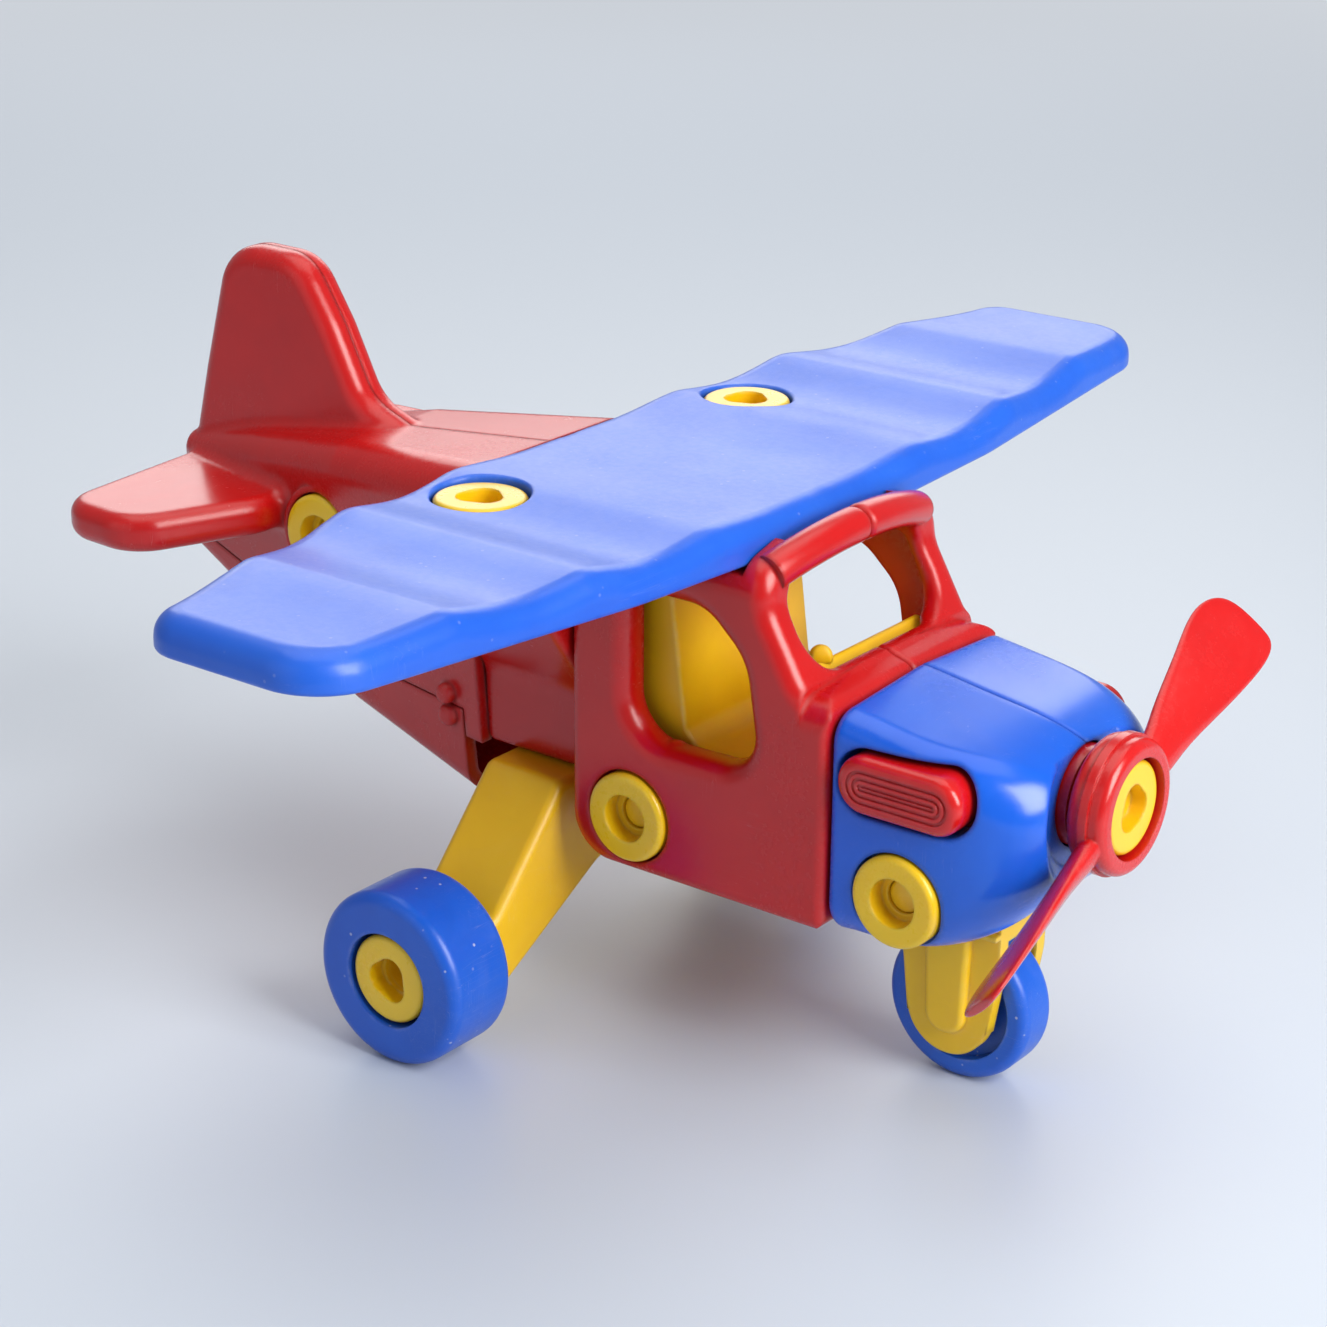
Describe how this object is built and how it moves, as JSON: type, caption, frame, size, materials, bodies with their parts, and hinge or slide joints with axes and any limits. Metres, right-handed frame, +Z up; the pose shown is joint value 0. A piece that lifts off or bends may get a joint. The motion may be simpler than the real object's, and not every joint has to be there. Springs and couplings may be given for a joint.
{
  "type": "toy airplane",
  "caption": "Screw-together toddler airplane with high scalloped wing, hollow cabin, spinning two-blade propeller and rolling three-wheel gear.",
  "frame": {"origin": "on the floor under the centre of the bounding box, in the toy's plane of symmetry", "axes": "+X towards the nose, +Y towards the port wing tip, +Z up; wheels stand on Z = 0"},
  "size_m": [0.3068, 0.34, 0.1743],
  "materials": {
    "red": "glossy injection-moulded red plastic",
    "blue": "satin injection-moulded blue plastic",
    "yellow": "satin injection-moulded yellow plastic"
  },
  "bodies": {
    "airframe": {"wing": "blue", "wing_screw_port": "yellow", "wing_screw_starboard": "yellow", "cabin_shell_port": "red", "cabin_shell_starboard": "red", "cabin_screw": "yellow", "cabin_nut": "yellow", "cockpit_liner": "yellow", "cowl_shell_port": "blue", "cowl_shell_starboard": "blue", "cowl_screw": "yellow", "cowl_nut": "yellow", "engine": "red", "propeller_screw": "yellow", "nose_fork": "yellow", "main_gear": "yellow", "wheel_screw_port": "yellow", "wheel_screw_starboard": "yellow", "tail_shell_port": "red", "tail_shell_starboard": "red", "belly_tray": "red", "tail_screw": "yellow", "tail_nut": "yellow"},
    "propeller_body": {"propeller": "red"},
    "nose_wheel_body": {"nose_wheel": "blue"},
    "port_wheel_body": {"main_wheel_port": "blue"},
    "starboard_wheel_body": {"main_wheel_starboard": "blue"}
  },
  "joints": [
    {"name": "propeller_spin", "type": "hinge", "parent": "airframe", "child": "propeller_body", "pos_m": [0.1466, 0, 0.082], "axis": [1, 0, 0], "continuous": true},
    {"name": "nose_wheel_spin", "type": "hinge", "parent": "airframe", "child": "nose_wheel_body", "pos_m": [0.109, 0, 0.02], "axis": [0, 1, 0], "continuous": true},
    {"name": "port_wheel_spin", "type": "hinge", "parent": "airframe", "child": "port_wheel_body", "pos_m": [-0.0054, 0.076, 0.0229], "axis": [0, 1, 0], "continuous": true},
    {"name": "starboard_wheel_spin", "type": "hinge", "parent": "airframe", "child": "starboard_wheel_body", "pos_m": [-0.0054, -0.076, 0.0229], "axis": [0, 1, 0], "continuous": true}
  ]
}
